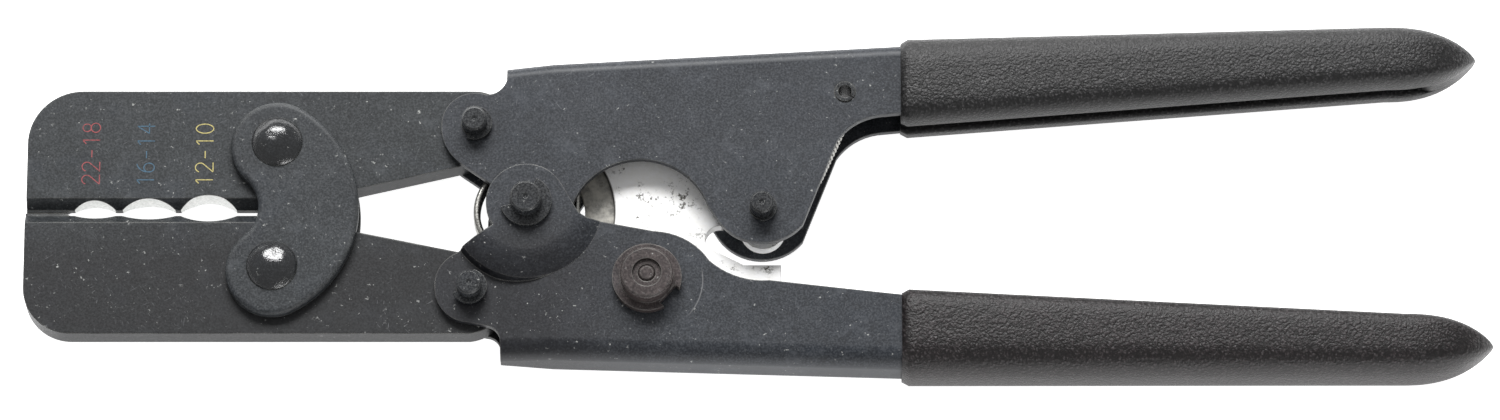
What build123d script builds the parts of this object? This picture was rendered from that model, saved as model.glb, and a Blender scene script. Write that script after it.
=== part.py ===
from build123d import *
from math import asin, atan2, cos, degrees, hypot, radians, sin, sqrt, tan
import os

# Compound-action ratchet crimper for insulated wire terminals, in millimetres.
# It lies on its rear side: X runs from the jaws (-X) to the grips (+X), Y across the
# handles and Z up from the bench. The main pivot stands at X = Y = 0, and heights are
# set out both ways from the mid-plane of the tool, which is MID above the bench.

# Clearances
SLIDE = 0.1  # between flat faces that slide on each other
SEAT = 0.05  # between a head, clip or plate and what it seats on
RUN = 0.05  # radial, pin in hole
OPEN_PIVOT = 0.32  # radial, at the pivot that is left open in the linkage
NESTING = 0.15  # between the outer and the inner frame at the main pivot
TOOTH_GAP = 0.2  # between the resting pawl and the tooth tips
SPRING_GAP = 0.9  # between the torsion spring and the ratchet plate
LEG_GAP = 0.8  # spring leg to the moving spine, taken up as the handles close

# Thicknesses
JAW_THICK = 5.6
FRAME_SHEET = 1.5
LINK_SHEET = 2.2
RATCHET_THICK = 3.0
COAT = 1.6  # vinyl on the handles
BODY_HALF = 6.25  # outer half width of both frames behind the main pivot

# Pivots (X, Y)
MAIN = (0.0, 0.0)
UPPER_JAW_PIVOT = (-9.85, 16.4)
LOWER_JAW_PIVOT = (-10.5, -15.8)
UPPER_LINK_PIVOT = (-46.8, 12.7)
LOWER_LINK_PIVOT = (-47.4, -11.5)
PAWL_PIVOT = (44.0, -0.65)
SPRING_POST = (59.6, 22.2)
ADJUSTER = (22.6, -14.6)

# Jaws: reach from the link rivet to the tip, back edge and corner of each
UPPER_REACH = 46.9
LOWER_REACH = 46.5
UPPER_BACK = 23.4
LOWER_BACK = 24.1
UPPER_CORNER = 10.3
LOWER_CORNER = 9.0
LAND_GAP = 1.1  # between the die lands at rest
LAND_WIDTH = 1.8
STOP_SHARE = 0.8  # of the room ahead of the first nest, where the jaws close on flat stops
STOP_GAP = 0.14
RELIEF_GAP = 4.75  # between the jaws' side faces, outside the lands
THROAT_START = 4.0  # X behind the link rivet where the jaws begin to part
THROAT_RISE = 3.7
THROAT_LENGTH = 11.4
JAW_EYE = 7.0
# Nests: X, width, depth above and below
NESTS = ((-80.9, 7.7, 1.45, 0.73), (-70.8, 10.0, 1.75, 0.98), (-59.6, 10.5, 2.4, 1.55))

# Link plates
LINK_LOBE = 8.7
LINK_BACK = 22.6
LINK_NOTCH = 7.1
LINK_ROUND = 0.8  # rolled rim of the outer face
LINK_DROP = 0.8  # the plates' outline lies this far below the line of the rivets

# Pins and rivets: radii, and how far the front ends stand above what they pass
MAIN_PIN_R = 2.95
MAIN_PIN_HEAD_R = 4.6
MAIN_PIN_HEAD = 1.7
MAIN_PIN_STAND = 4.1
MAIN_CLIP_R = 4.8
JAW_PIN_R = 2.35
JAW_PIN_HEAD_R = 3.4
JAW_PIN_HEAD = 1.0
UPPER_JAW_PIN_STAND = 3.8
LOWER_JAW_PIN_STAND = 4.6
JAW_CLIP_R = 3.3
PAWL_PIN_R = 2.2
PAWL_PIN_STAND = 4.2
PAWL_CLIP_R = 2.8
CLIP_SHEET = 0.9
CLIP_LIFT = 0.85  # the lower jaw clip rides above the swell of the frame
GROOVE_DEPTH = 0.4
CLIP_MOUTH = 64.0  # degrees to each side of the mouth's middle
PUNCH_R = 0.55  # centre-punch mark in a pin's front end
PUNCH_DEPTH = 0.4
END_CHAMFER = 0.35
LINK_RIVET_R = 2.6
RIVET_HEAD_R = 4.8
RIVET_HEAD = 2.4
BUSH_WALL = 1.0
POST_R = 1.93
POST_BORE = 1.25
POST_SLIT = 0.4
POST_STAND = 0.3

# Frames
NOSE_HALF = JAW_THICK / 2 + SLIDE + FRAME_SHEET
SWELL_HALF = BODY_HALF + NESTING + FRAME_SHEET
RAMP_START = -5.5
RAMP_END = 5.0
SWELL_FLAT_R = 8.2
SWELL_CROWN = (11.6, 0.42)  # radius, and drop below the flat, half way down the swell
SWELL_BODY_R = 14.25
SWELL_NOSE_R = 14.9
BUSH_HALF = NOSE_HALF - FRAME_SHEET
UPPER_NOSE = (-3.85, 27.7)  # front end of each spine
LOWER_NOSE = (-4.7, -29.0)
UPPER_BEND_R = 2.4  # outside of the spines' bends
LOWER_BEND_R = 3.5
UPPER_PIVOT_LOBE = 7.3
LOWER_PIVOT_LOBE = 7.5
UPPER_JAW_LOBE = 6.2
LOWER_JAW_LOBE = 6.5
SCALLOP_R = 13.4
SCALLOP_CENTRE = (21.3, -4.5)

# Grips: start, length to the tip, nose, half thickness, and heights of the edges
GRIP_START = 70.1
UPPER_GRIP_LENGTH = 108.5
LOWER_GRIP_LENGTH = 110.4
GRIP_NOSE = 17.0
GRIP_HALF = BODY_HALF + COAT
GRIP_ROUND = 4.6
GRIP_SHOULDER = 0.44  # of the nose's length, from the tip to its fullest point
GRIP_BLUNT = 0.8  # of the half depth, left at that point
GRIP_END_ROUND = 0.9  # of the half thickness, in plan
GRIP_MOUTH = 3  # coats of vinyl from the belly to the floor of the slot
GRIP_SLOT_HALF = 2.0
UPPER_GRIP_BACK = (33.4, 35.8)
UPPER_GRIP_BELLY = (16.4, 23.7)
UPPER_GRIP_TIP = 29.45
LOWER_GRIP_BACK = (-32.75, -32.5)
LOWER_GRIP_BELLY = (-15.9, -20.8)
LOWER_GRIP_TIP = -26.0

# Ratchet plate and pawl
TOOTH_TIP_R = 36.9
TOOTH_ROOT_R = 35.7
TOOTH_PITCH = 2.5  # degrees
TEETH = 10
FIRST_TOOTH = -3.0  # degrees
RATCHET_HEAD_ANGLE = 52.0
RATCHET_CREST_ANGLE = 30.0
RATCHET_HEEL_ANGLE = -62.0
RELIEF_R = 33.9
RECESS_R = 16.5
RECESS_DEPTH = 1.0
RATCHET_FOOT_END = 47.6
RATCHET_FOOT_TOP = -10.4
PAWL_HUB = 5.0
PAWL_FLANK_ANGLE = 53.0  # where the nose's sides leave the hub
PAWL_HEEL_DROP = 2.35
PAWL_HEEL_R = 4.2
PAWL_TAIL = (51.2, 3.5)
PAWL_TAIL_R = 2.0
PAWL_EYE_R = 1.25

# Springs
TORSION_R = 10.0
TORSION_WIRE = 1.1
PULL_SPRING_R = 2.6
PULL_WIRE = 0.7
PULL_LOOP_R = 2.1

# Adjuster
SHANK_R = 3.0
FLANGE_R = 6.5
FLANGE = 1.6
FLANGE_NOTCH = 1.5
BOSS_R = 4.95
BOSS = 3.2
BOSS_RECESS_R = 2.7
BOSS_RECESS = 1.3
LOCK_SCREW_R = 1.55
LOCK_SCREW_SINK = 0.4

MID = SWELL_HALF + SEAT + MAIN_PIN_HEAD
FAR = 400.0  # longer than any piece, for cutting tools

os.makedirs("parts", exist_ok=True)


def polar(radius, angle):
    """Point at a radius and an angle in degrees about the main pivot."""
    return (radius * cos(radians(angle)), radius * sin(radians(angle)))


def towards(start, end, distance):
    """Point at a distance from start along the line to end."""
    span = hypot(end[0] - start[0], end[1] - start[1])
    return tuple(a + (b - a) * distance / span for a, b in zip(start, end))


def upright(point):
    """Plane through a pivot: local X is radial, local Y is height over the mid-plane."""
    return Plane(origin=(*point, MID), x_dir=(1, 0, 0), z_dir=(0, -1, 0))


def turn(point, *profile):
    """Revolves (radius, height) corners about the vertical axis through a pivot."""
    with BuildSketch(upright(point)) as section:
        with BuildLine():
            Polyline(*profile, close=True)
        make_face()
    revolve(section.sketch, axis=Axis((*point, MID), (0, 0, 1)))


def bore(point, radius):
    """Drills a hole right through at a pivot."""
    with BuildSketch(Plane.XY.offset(MID)) as hole:
        with Locations(point):
            Circle(radius)
    extrude(hole.sketch, amount=FAR, both=True, mode=Mode.SUBTRACT)


def pin_profile(radius, rear, front, head_r, head, clip_base):
    """Corners of a headed pin with a clip groove and a chamfered front end."""
    neck = radius - GROOVE_DEPTH
    clip_top = clip_base + CLIP_SHEET + SEAT
    return (
        (0, rear - head),
        (head_r, rear - head),
        (head_r, rear),
        (radius, rear),
        (radius, clip_base),
        (neck, clip_base),
        (neck, clip_top),
        (radius, clip_top),
        (radius, front - END_CHAMFER),
        (radius - END_CHAMFER, front),
        (PUNCH_R, front),
        (0, front - PUNCH_DEPTH),
    )


def clip_shape(point, pin_radius, outer, base, mouth):
    """Snap ring that stands in a pin's groove, its mouth turned to an angle."""
    inner = pin_radius - GROOVE_DEPTH + RUN
    with BuildSketch(Plane.XY.offset(MID + base + SEAT / 2)) as ring:
        with Locations(Location((*point, 0), (0, 0, mouth))):
            Circle(outer)
            Circle(inner, mode=Mode.SUBTRACT)
            far, side = 2 * outer, 2 * outer * tan(radians(CLIP_MOUTH))
            Polygon((0, 0), (far, -side), (far, side), align=None, mode=Mode.SUBTRACT)
    extrude(ring.sketch, amount=CLIP_SHEET)


def width_plan(nose, body):
    """Plan of a frame seen along Y: narrow at the jaws, ramped out to the body width."""
    with BuildSketch(Plane.XZ) as plan:
        with BuildLine():
            Polyline(
                (-FAR, MID - nose),
                (RAMP_START, MID - nose),
                (RAMP_END, MID - body),
                (FAR, MID - body),
                (FAR, MID + body),
                (RAMP_END, MID + body),
                (RAMP_START, MID + nose),
                (-FAR, MID + nose),
                close=True,
            )
        make_face()
    return plan.sketch


def swell(inset):
    """Round swell about the main pivot, its skin set in by a sheet's inset."""
    flat, body, nose = (half - inset for half in (SWELL_HALF, BODY_HALF, NOSE_HALF))
    crown_r, crown_drop = SWELL_CROWN
    with BuildSketch(upright(MAIN)) as section:
        with BuildLine():
            face = Line((0, flat), (SWELL_FLAT_R, flat))
            curve = ThreePointArc(face @ 1, (crown_r, flat - crown_drop), (SWELL_BODY_R, body))
            Polyline(curve @ 1, (SWELL_NOSE_R, nose), (SWELL_NOSE_R, 0), (0, 0), (0, flat))
        make_face()
        mirror(about=Plane.XZ)
    revolve(section.sketch, axis=Axis((*MAIN, MID), (0, 0, 1)))


def handle_rail(back, belly, length):
    """Corners of a handle inside its vinyl: back and belly, at the start and at the end."""
    side = 1 if back[0] > 0 else -1
    end = GRIP_START + length - GRIP_NOSE
    outer = [(GRIP_START, back[0] - side * COAT), (end, back[1] - side * COAT)]
    inner = [(end, belly[1] + side * COAT), (GRIP_START, belly[0] + side * COAT)]
    return outer + inner


def spine_cavity(spine, side):
    """Sketch of all that lies on the inner side of a spine, a sheet's thickness in."""
    drop = side * FRAME_SHEET
    with BuildSketch(Plane.XY.offset(MID)) as inside:
        with BuildLine():
            Polyline(
                *((x, y - drop) for x, y in spine),
                (FAR, spine[-1][1] - drop),
                (FAR, -side * FAR),
                (-FAR, -side * FAR),
                (-FAR, spine[0][1] - drop),
                close=True,
            )
        make_face()
    return inside.sketch


def lengthwise(edges, spine_height, side):
    """Edges along a spine's two bends: beyond a height and away from the mid-plane."""
    return edges.filter_by(
        lambda edge: side * edge.center().Y > spine_height
        and abs(edge.center().Z - MID) > NOSE_HALF - FRAME_SHEET - SEAT
    )


# Upper frame: one sheet folded into a channel that is open towards the lower frame.
upper_rail = handle_rail(UPPER_GRIP_BACK, UPPER_GRIP_BELLY, UPPER_GRIP_LENGTH)
upper_spine = (UPPER_NOSE, *upper_rail[:2])

with BuildSketch(Plane.XY.offset(MID)) as upper_outline:
    with BuildLine():
        top = Polyline(*upper_spine, *upper_rail[2:])
        heel = Line(top @ 1, (67.0, 17.7))
        inner_bend = ThreePointArc(heel @ 1, (61.9, 16.2), (58.1, 12.6))
        chin = Line(inner_bend @ 1, (51.7, -3.8))
        lobe = ThreePointArc(chin @ 1, (44.0, -7.4), (35.9, -3.2))
        flank = Line(lobe @ 1, (30.3, 5.6))
        under = Polyline(flank @ 1, SCALLOP_CENTRE, MAIN, (-6.0, 4.2), (-10.4, 7.3), (-12.4, 8.7))
        cheek_end = (UPPER_JAW_PIVOT[0] - UPPER_JAW_LOBE, UPPER_JAW_PIVOT[1])
        cheek = ThreePointArc(under @ 1, (-15.3, 12.3), cheek_end)
        neck = Polyline(cheek @ 1, UPPER_JAW_PIVOT, (-9.0, 22.55))
        web = ThreePointArc(neck @ 1, (-5.4, 22.9), (UPPER_NOSE[0], 25.0))
        Line(web @ 1, UPPER_NOSE)
    make_face()
    for centre, radius in ((MAIN, UPPER_PIVOT_LOBE), (UPPER_JAW_PIVOT, UPPER_JAW_LOBE)):
        with Locations(centre):
            Circle(radius)
    with Locations(SCALLOP_CENTRE):
        Circle(SCALLOP_R, mode=Mode.SUBTRACT)

with BuildPart() as upper_cavity:
    extrude(width_plan(NOSE_HALF - FRAME_SHEET, BODY_HALF - FRAME_SHEET), amount=FAR, both=True)
    extrude(spine_cavity(upper_spine, 1), amount=FAR, both=True, mode=Mode.INTERSECT)

with BuildPart() as upper_frame:
    extrude(upper_outline.sketch, amount=BODY_HALF, both=True)
    extrude(width_plan(NOSE_HALF, BODY_HALF), amount=FAR, both=True, mode=Mode.INTERSECT)
    fillet(lengthwise(upper_frame.edges(), UPPER_NOSE[1] - SEAT, 1), radius=UPPER_BEND_R)
    add(upper_cavity.part, mode=Mode.SUBTRACT)
    bore(MAIN, MAIN_PIN_R + RUN)
    bore(UPPER_JAW_PIVOT, JAW_PIN_R + RUN)
    bore(PAWL_PIVOT, PAWL_PIN_R + RUN)
    bore(SPRING_POST, POST_R + RUN)

# Lower frame: the same fold, swelled out round the main pivot to pass outside the upper.
lower_rail = handle_rail(LOWER_GRIP_BACK, LOWER_GRIP_BELLY, LOWER_GRIP_LENGTH)
lower_spine = (LOWER_NOSE, *lower_rail[:2])

with BuildSketch(Plane.XY.offset(MID)) as lower_outline:
    with BuildLine():
        bottom = Polyline(*lower_spine, *lower_rail[2:])
        rail_edge = Line(bottom @ 1, (45.4, -14.75))
        hollow = ThreePointArc(rail_edge @ 1, (38.2, -13.5), (34.2, -10.9))
        crown = ThreePointArc(hollow @ 1, (30.6, -7.3), (24.0, -5.2))
        shoulder = Polyline(crown @ 1, (11.3, -2.8), (9.75, -1.95), (6.6, 3.6), MAIN)
        neck = Polyline(shoulder @ 1, (-6.4, -4.5), (-12.9, -8.8))
        cheek_end = (LOWER_JAW_PIVOT[0] - LOWER_JAW_LOBE, LOWER_JAW_PIVOT[1])
        cheek = ThreePointArc(neck @ 1, (-16.2, -11.8), cheek_end)
        chin = Polyline(cheek @ 1, LOWER_JAW_PIVOT, (-10.9, -22.3), (-7.4, -23.0))
        web = ThreePointArc(chin @ 1, (-5.6, -23.8), (LOWER_NOSE[0] - SEAT, -25.7))
        Line(web @ 1, LOWER_NOSE)
    make_face()
    for centre, radius in ((MAIN, LOWER_PIVOT_LOBE), (LOWER_JAW_PIVOT, LOWER_JAW_LOBE)):
        with Locations(centre):
            Circle(radius)

with BuildPart() as lower_cavity:
    extrude(width_plan(NOSE_HALF - FRAME_SHEET, BODY_HALF - FRAME_SHEET), amount=FAR, both=True)
    swell(FRAME_SHEET)
    extrude(spine_cavity(lower_spine, -1), amount=FAR, both=True, mode=Mode.INTERSECT)

with BuildPart() as lower_skin:
    extrude(width_plan(NOSE_HALF, BODY_HALF), amount=FAR, both=True)
    swell(0)

with BuildPart() as lower_frame:
    extrude(lower_outline.sketch, amount=SWELL_HALF, both=True)
    add(lower_skin.part, mode=Mode.INTERSECT)
    fillet(lengthwise(lower_frame.edges(), -LOWER_NOSE[1] - SEAT, -1), radius=LOWER_BEND_R)
    add(lower_cavity.part, mode=Mode.SUBTRACT)
    bore(MAIN, MAIN_PIN_R + RUN)
    bore(LOWER_JAW_PIVOT, JAW_PIN_R + RUN)
    bore(ADJUSTER, SHANK_R + RUN)


def grip_solid(back, belly, tip_height, length, frame):
    """Dipped vinyl sleeve: a bullet-nosed bar with the channel and its mouth taken out."""
    side = 1 if back[0] > 0 else -1
    tip = GRIP_START + length
    nose = tip - GRIP_NOSE
    middle = (back[1] + belly[1]) / 2
    blunt = (back[1] - belly[1]) / 2 * GRIP_BLUNT
    shoulder = tip - GRIP_SHOULDER * GRIP_NOSE
    with BuildSketch(Plane.XY.offset(MID)) as outline:
        with BuildLine():
            back_edge = Line((GRIP_START, back[0]), (nose, back[1]))
            over = ThreePointArc(back_edge @ 1, (shoulder, middle + blunt), (tip, tip_height))
            beneath = ThreePointArc(over @ 1, (shoulder, middle - blunt), (nose, belly[1]))
            Polyline(beneath @ 1, (GRIP_START, belly[0]), back_edge @ 0)
        make_face()
    with BuildSketch(Plane.XZ) as plan:
        with Locations(((GRIP_START + tip) / 2, MID)):
            Rectangle(length, 2 * GRIP_HALF)
        fillet(plan.vertices().group_by(Axis.X)[-1], radius=GRIP_HALF * GRIP_END_ROUND)
    with BuildSketch(Plane.XZ) as mouth:
        with Locations(((GRIP_START + nose) / 2, MID)):
            Rectangle(nose - GRIP_START, 2 * GRIP_SLOT_HALF)
    with BuildPart() as sleeve:
        extrude(outline.sketch, amount=GRIP_HALF, both=True)
        ridges = sleeve.edges().filter_by(
            lambda edge: abs(edge.center().Z - MID) > GRIP_HALF - SEAT
            and edge.length > length / 2
        )
        fillet(ridges, radius=GRIP_ROUND)
        extrude(plan.sketch, amount=FAR, both=True, mode=Mode.INTERSECT)
        with BuildSketch(Plane.XY.offset(MID)):
            with BuildLine():
                Polyline(
                    (GRIP_START, belly[0] + side * GRIP_MOUTH * COAT),
                    (nose - COAT, belly[1] + side * GRIP_MOUTH * COAT),
                    (nose - COAT, 0),
                    (GRIP_START, 0),
                    close=True,
                )
            make_face()
        extrude(amount=GRIP_SLOT_HALF, both=True, mode=Mode.SUBTRACT)
        add(frame, mode=Mode.SUBTRACT)
    return sleeve


upper_grip = grip_solid(
    UPPER_GRIP_BACK, UPPER_GRIP_BELLY, UPPER_GRIP_TIP, UPPER_GRIP_LENGTH, upper_frame.part
)
lower_grip = grip_solid(
    LOWER_GRIP_BACK, LOWER_GRIP_BELLY, LOWER_GRIP_TIP, LOWER_GRIP_LENGTH, lower_frame.part
)


def jaw_solid(side, pivot, link, reach, back, corner, hole, depth_column):
    """Forged jaw: nests in a narrow land, relief beside it, and an eye at each pivot."""
    tip = link[0] - reach
    land = side * LAND_GAP / 2
    first_nest, first_width = NESTS[0][:2]
    stop = tip + STOP_SHARE * (first_nest - first_width / 2 - tip)
    throat = link[0] + THROAT_START
    rise = (throat + THROAT_LENGTH, land + side * THROAT_RISE)
    run, climb = pivot[0] - rise[0], side * (pivot[1] - rise[1])
    tangent = atan2(climb, run) - asin(JAW_EYE / hypot(run, climb))
    toe = (pivot[0] + JAW_EYE * sin(tangent), pivot[1] - side * JAW_EYE * cos(tangent))
    heel = (pivot[0] + JAW_EYE, pivot[1])
    shoulder = (pivot[0], side * back)
    bulge = tuple(p + (h - p + s - p) / sqrt(2) for p, h, s in zip(pivot, heel, shoulder))
    with BuildPart() as jaw:
        with BuildSketch(Plane.XY.offset(MID)) as outline:
            with BuildLine():
                Polyline(
                    shoulder,
                    (tip, side * back),
                    (tip, side * STOP_GAP / 2),
                    (stop, side * STOP_GAP / 2),
                    (stop + LAND_GAP, land),
                    (throat, land),
                    rise,
                    toe,
                    pivot,
                    heel,
                )
                ThreePointArc(heel, bulge, shoulder)
            make_face()
            fillet(outline.vertices().sort_by_distance((tip, side * back))[0], radius=corner)
            with Locations(pivot):
                Circle(JAW_EYE)
            for nest_x, width, *depths in NESTS:
                depth = depths[depth_column]
                radius = (width**2 / 4 + depth**2) / (2 * depth)
                with Locations((nest_x, land + side * (depth - radius))):
                    Circle(radius, mode=Mode.SUBTRACT)
        extrude(amount=JAW_THICK / 2, both=True)
        for face in (1, -1):
            with BuildSketch(Plane.YZ.offset(tip)):
                with BuildLine():
                    Polyline(
                        (side * RELIEF_GAP / 2, MID + face * JAW_THICK / 2),
                        (land, MID + face * LAND_WIDTH / 2),
                        (0, MID + face * LAND_WIDTH / 2),
                        (0, MID + face * JAW_THICK),
                        (side * RELIEF_GAP / 2, MID + face * JAW_THICK),
                        close=True,
                    )
                make_face()
            extrude(amount=throat + THROAT_LENGTH / 2 - tip, mode=Mode.SUBTRACT)
        bore(pivot, hole)
        bore(link, LINK_RIVET_R + RUN)
    return jaw


upper_jaw = jaw_solid(
    1,
    UPPER_JAW_PIVOT,
    UPPER_LINK_PIVOT,
    UPPER_REACH,
    UPPER_BACK,
    UPPER_CORNER,
    JAW_PIN_R + OPEN_PIVOT,
    0,
)
lower_jaw = jaw_solid(
    -1,
    LOWER_JAW_PIVOT,
    LOWER_LINK_PIVOT,
    LOWER_REACH,
    LOWER_BACK,
    LOWER_CORNER,
    JAW_PIN_R + RUN,
    1,
)


def link_plate(base):
    """Kidney-shaped plate: two round ends, a full back and a round notch in front."""
    lobes = [(x, y - LINK_DROP) for x, y in (UPPER_LINK_PIVOT, LOWER_LINK_PIVOT)]
    span = (lobes[0][0] - lobes[1][0], lobes[0][1] - lobes[1][1])
    half = hypot(*span) / 2
    forward = (-span[1] / (2 * half), span[0] / (2 * half))
    centre = tuple((a + b) / 2 for a, b in zip(*lobes))

    def ahead(distance):
        return tuple(c + f * distance for c, f in zip(centre, forward))

    hub = ahead(sqrt((LINK_BACK - LINK_LOBE) ** 2 - half**2))
    notch = ahead(sqrt((LINK_NOTCH + LINK_LOBE) ** 2 - half**2))
    outer = [towards(hub, lobe, LINK_BACK) for lobe in lobes]
    inner = [towards(notch, lobe, LINK_NOTCH) for lobe in lobes]
    away = [towards(lobe, other, -LINK_LOBE) for lobe, other in zip(lobes, reversed(lobes))]
    with BuildPart() as plate:
        with BuildSketch(Plane.XY.offset(MID + base)):
            with BuildLine():
                ThreePointArc(outer[1], towards(hub, centre, LINK_BACK), outer[0])
                ThreePointArc(outer[0], away[0], inner[0])
                ThreePointArc(inner[0], towards(notch, centre, LINK_NOTCH), inner[1])
                ThreePointArc(inner[1], away[1], outer[1])
            make_face()
        extrude(amount=LINK_SHEET)
        fillet(plate.faces().sort_by(Axis.Z)[-1 if base > 0 else 0].edges(), radius=LINK_ROUND)
        bore(UPPER_LINK_PIVOT, LINK_RIVET_R + RUN)
        bore(LOWER_LINK_PIVOT, LINK_RIVET_R + RUN)
    return plate


link_face = JAW_THICK / 2 + SLIDE
front_link_plate = link_plate(link_face)
rear_link_plate = link_plate(-link_face - LINK_SHEET)


def link_rivet(point):
    """Rivet with a domed head, a cap of a sphere, on each link plate."""
    seat = link_face + LINK_SHEET + SEAT
    sphere = (RIVET_HEAD_R**2 + RIVET_HEAD**2) / (2 * RIVET_HEAD)
    bulge = (RIVET_HEAD_R / 2, sqrt(sphere**2 - RIVET_HEAD_R**2 / 4) - sphere + seat + RIVET_HEAD)
    with BuildPart() as rivet:
        with BuildSketch(upright(point)):
            with BuildLine():
                axis = Line((0, -seat - RIVET_HEAD), (0, seat + RIVET_HEAD))
                front = ThreePointArc(axis @ 1, bulge, (RIVET_HEAD_R, seat))
                barrel = Polyline(
                    front @ 1, (LINK_RIVET_R, seat), (LINK_RIVET_R, -seat), (RIVET_HEAD_R, -seat)
                )
                ThreePointArc(barrel @ 1, (bulge[0], -bulge[1]), axis @ 0)
            make_face()
        revolve(axis=Axis((*point, MID), (0, 0, 1)))
    return rivet


upper_link_rivet = link_rivet(UPPER_LINK_PIVOT)
lower_link_rivet = link_rivet(LOWER_LINK_PIVOT)

# Main pivot: headed pin from behind, snap ring in front, bush between the frames' cheeks.
main_clip_base = SWELL_HALF + SEAT
with BuildPart() as main_pivot_pin:
    turn(
        MAIN,
        *pin_profile(
            MAIN_PIN_R,
            -SWELL_HALF - SEAT,
            SWELL_HALF + MAIN_PIN_STAND,
            MAIN_PIN_HEAD_R,
            MAIN_PIN_HEAD,
            main_clip_base,
        ),
    )

with BuildPart() as main_pin_clip:
    clip_shape(MAIN, MAIN_PIN_R, MAIN_CLIP_R, main_clip_base, 130)

with BuildPart() as pivot_bush:
    bush_bore = MAIN_PIN_R + RUN
    turn(
        MAIN,
        (bush_bore, -BUSH_HALF),
        (bush_bore + BUSH_WALL, -BUSH_HALF),
        (bush_bore + BUSH_WALL, BUSH_HALF),
        (bush_bore, BUSH_HALF),
    )

# Jaw pins, each with a head behind and a snap ring in front.
upper_clip_base = NOSE_HALF + SEAT
lower_clip_base = NOSE_HALF + CLIP_LIFT
with BuildPart() as upper_jaw_pin:
    upper_pin_front = NOSE_HALF + UPPER_JAW_PIN_STAND
    turn(
        UPPER_JAW_PIVOT,
        *pin_profile(
            JAW_PIN_R, -NOSE_HALF - SEAT, upper_pin_front, JAW_PIN_HEAD_R, JAW_PIN_HEAD, upper_clip_base
        ),
    )

with BuildPart() as upper_jaw_pin_clip:
    clip_shape(UPPER_JAW_PIVOT, JAW_PIN_R, JAW_CLIP_R, upper_clip_base, 180)

with BuildPart() as lower_jaw_pin:
    lower_pin_front = NOSE_HALF + LOWER_JAW_PIN_STAND
    turn(
        LOWER_JAW_PIVOT,
        *pin_profile(
            JAW_PIN_R, -lower_clip_base, lower_pin_front, JAW_PIN_HEAD_R, JAW_PIN_HEAD, lower_clip_base
        ),
    )

with BuildPart() as lower_jaw_pin_clip:
    clip_shape(LOWER_JAW_PIVOT, JAW_PIN_R, JAW_CLIP_R, lower_clip_base, 140)

# Pawl pin and the slit spring post, both in the upper frame.
pawl_clip_base = BODY_HALF + SEAT
with BuildPart() as pawl_pin:
    pawl_pin_front = BODY_HALF + PAWL_PIN_STAND
    turn(
        PAWL_PIVOT,
        *pin_profile(
            PAWL_PIN_R, -pawl_clip_base, pawl_pin_front, PAWL_CLIP_R, JAW_PIN_HEAD, pawl_clip_base
        ),
    )

with BuildPart() as pawl_pin_clip:
    clip_shape(PAWL_PIVOT, PAWL_PIN_R, PAWL_CLIP_R, pawl_clip_base, 200)

with BuildPart() as spring_anchor_pin:
    with BuildSketch(Plane.XY.offset(MID)):
        with Locations(Location((*SPRING_POST, 0), (0, 0, -40))):
            Circle(POST_R)
            Circle(POST_BORE, mode=Mode.SUBTRACT)
            with Locations((POST_R, 0)):
                Rectangle(2 * POST_R, POST_SLIT, mode=Mode.SUBTRACT)
    extrude(amount=BODY_HALF + POST_STAND, both=True)


def above_spine(x):
    """Height of the seat on the lower spine's inner face."""
    (x0, y0), (x1, y1) = lower_spine[:2]
    return y0 + (y1 - y0) * (x - x0) / (x1 - x0) + FRAME_SHEET + SEAT


# Ratchet plate: a toothed arc about the main pivot, held in the lower channel.
LAST_TOOTH = FIRST_TOOTH + TOOTH_PITCH * TEETH
ratchet_inner = TORSION_R + SPRING_GAP
with BuildPart() as ratchet_plate:
    with BuildSketch(Plane.XY.offset(MID)):
        with BuildLine():
            inner_arc = ThreePointArc(
                polar(ratchet_inner, RATCHET_HEAD_ANGLE),
                polar(ratchet_inner, 0),
                polar(ratchet_inner, RATCHET_HEEL_ANGLE),
            )
            heel_x = (inner_arc @ 1).X
            foot = Polyline(
                inner_arc @ 1,
                (heel_x, above_spine(heel_x)),
                (RATCHET_FOOT_END, above_spine(RATCHET_FOOT_END)),
                (RATCHET_FOOT_END, RATCHET_FOOT_TOP),
                (40.6, RATCHET_FOOT_TOP),
                (33.8, -6.9),
            )
            hook = polar(TOOTH_TIP_R, FIRST_TOOTH - TOOTH_PITCH / 2)
            scoop = ThreePointArc(foot @ 1, polar(RELIEF_R, -7.5), hook)
            lead = Line(scoop @ 1, polar(TOOTH_ROOT_R, FIRST_TOOTH - TOOTH_PITCH / 4))
            toothed = ThreePointArc(
                lead @ 1,
                polar(TOOTH_ROOT_R, (FIRST_TOOTH + LAST_TOOTH) / 2),
                polar(TOOTH_ROOT_R, LAST_TOOTH),
            )
            Polyline(
                toothed @ 1,
                polar(RELIEF_R, LAST_TOOTH + TOOTH_PITCH),
                polar(RELIEF_R, RATCHET_CREST_ANGLE),
                inner_arc @ 0,
            )
        make_face()
        for tooth in range(TEETH):
            angle = FIRST_TOOTH + TOOTH_PITCH * tooth
            with BuildLine():
                Polyline(
                    polar(RELIEF_R, angle - TOOTH_PITCH / 4),
                    polar(TOOTH_ROOT_R, angle - TOOTH_PITCH / 4),
                    polar(TOOTH_TIP_R, angle + TOOTH_PITCH / 4),
                    polar(TOOTH_ROOT_R, angle + TOOTH_PITCH * 3 / 4),
                    polar(RELIEF_R, angle + TOOTH_PITCH * 3 / 4),
                    close=True,
                )
            make_face()
    extrude(amount=RATCHET_THICK / 2, both=True)
    with BuildSketch(Plane.XY.offset(MID + RATCHET_THICK / 2)):
        Circle(RECESS_R)
    extrude(amount=-RECESS_DEPTH, mode=Mode.SUBTRACT)
    bore(ADJUSTER, SHANK_R + SLIDE)

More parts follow.
